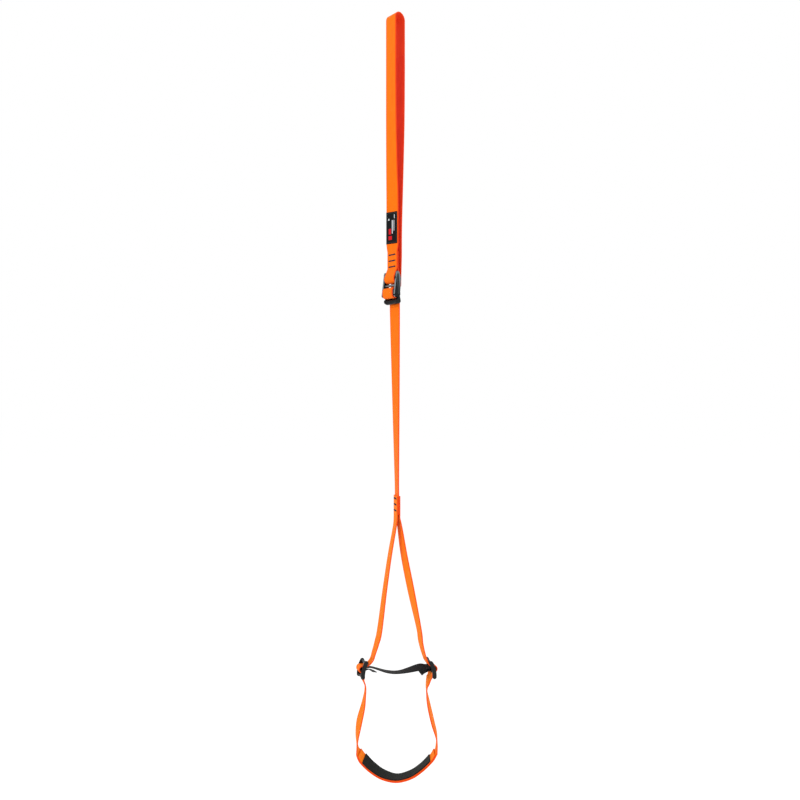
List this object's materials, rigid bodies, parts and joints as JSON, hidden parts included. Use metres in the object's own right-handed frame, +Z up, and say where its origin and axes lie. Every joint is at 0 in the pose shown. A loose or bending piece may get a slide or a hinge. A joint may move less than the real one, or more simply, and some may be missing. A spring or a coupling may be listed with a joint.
{
  "type": "adjustable foot loop",
  "caption": "Adjustable webbing foot loop for rope ascending: connector loop, camming buckle, main strap and a padded stirrup with an instep strap on sliders.",
  "frame": {"origin": "on the axis of the half round crown at the top of the loop, where a connector bears", "axes": "+Z up along the hanging strap, X across the stirrup, a boot goes in along +Y"},
  "size_m": [0.1489, 0.0455, 1.3789],
  "materials": {
    "webbing": "woven polyamide webbing, orange",
    "thread": "dark sewing thread",
    "label": "woven black label, plain",
    "buckle": "black coated pressed steel",
    "pin": "turned steel, satin",
    "slider": "moulded black polyacetal",
    "pad": "black tread sheet on the step",
    "instep": "woven black webbing"
  },
  "bodies": {
    "connector_loop": {"loop_crown": "webbing", "loop_front_leg": "webbing", "loop_rear_leg": "webbing"},
    "eye": {"eye_webbing": "webbing", "eye_tacks": "thread", "blank_label": "label", "rear_leg_tail": "webbing", "strap_runout": "webbing", "main_strap": "webbing"},
    "buckle": {"buckle_frame": "buckle", "cross_pin": "pin", "fold_webbing": "webbing"},
    "locking_bar": {"locking_bar": "pin"},
    "strap_end": {"strap_end": "webbing", "strap_bend": "webbing"},
    "stirrup": {"strap_tail": "webbing", "left_leg_top": "webbing", "right_leg_top": "webbing", "junction_tacks": "thread", "left_leg_flex": "webbing", "right_leg_flex": "webbing", "left_lower_flex": "webbing", "right_lower_flex": "webbing", "step_webbing": "webbing", "step_layer": "webbing", "step_pad": "pad", "step_stitching": "thread"},
    "instep": {"left_slider": "slider", "right_slider": "slider", "left_bulge": "webbing", "right_bulge": "webbing", "instep_strap": "instep"}
  },
  "joints": [
    {"name": "loop_length", "type": "slide", "parent": "connector_loop", "child": "eye", "axis": [0, 0, -1], "range_m": [-0.1, 0.065], "deforming": ["loop_front_leg", "loop_rear_leg"]},
    {"name": "buckle_tilt", "type": "hinge", "parent": "eye", "child": "buckle", "pos_m": [-0.00601, -0.00601, -0.465], "axis": [-0.7071, 0.7071, 0], "range_deg": [-15, 45], "deforming": ["rear_leg_tail", "strap_runout"]},
    {"name": "locking_bar_slide", "type": "slide", "parent": "buckle", "child": "locking_bar", "axis": [0, 0, 1], "range_m": [-0.002, 0.0018], "deforming": ["fold_webbing"]},
    {"name": "strap_length", "type": "slide", "parent": "eye", "child": "strap_end", "axis": [0, 0, 1], "range_m": [-0.2, 0.13], "deforming": ["main_strap"]},
    {"name": "stirrup_swing", "type": "hinge", "parent": "strap_end", "child": "stirrup", "pos_m": [0.0027, 0, -0.8406], "axis": [0.2588, -0.9659, 0], "range_deg": [-40, 40], "deforming": ["strap_bend"]},
    {"name": "instep_height", "type": "slide", "parent": "stirrup", "child": "instep", "axis": [0, 0, 1], "range_m": [-0.02, 0.025], "deforming": ["left_leg_flex", "right_leg_flex", "left_lower_flex", "right_lower_flex"]}
  ],
  "couplings": [
    {"joint": "strap_length", "follows": "loop_length", "ratio": 2}
  ]
}
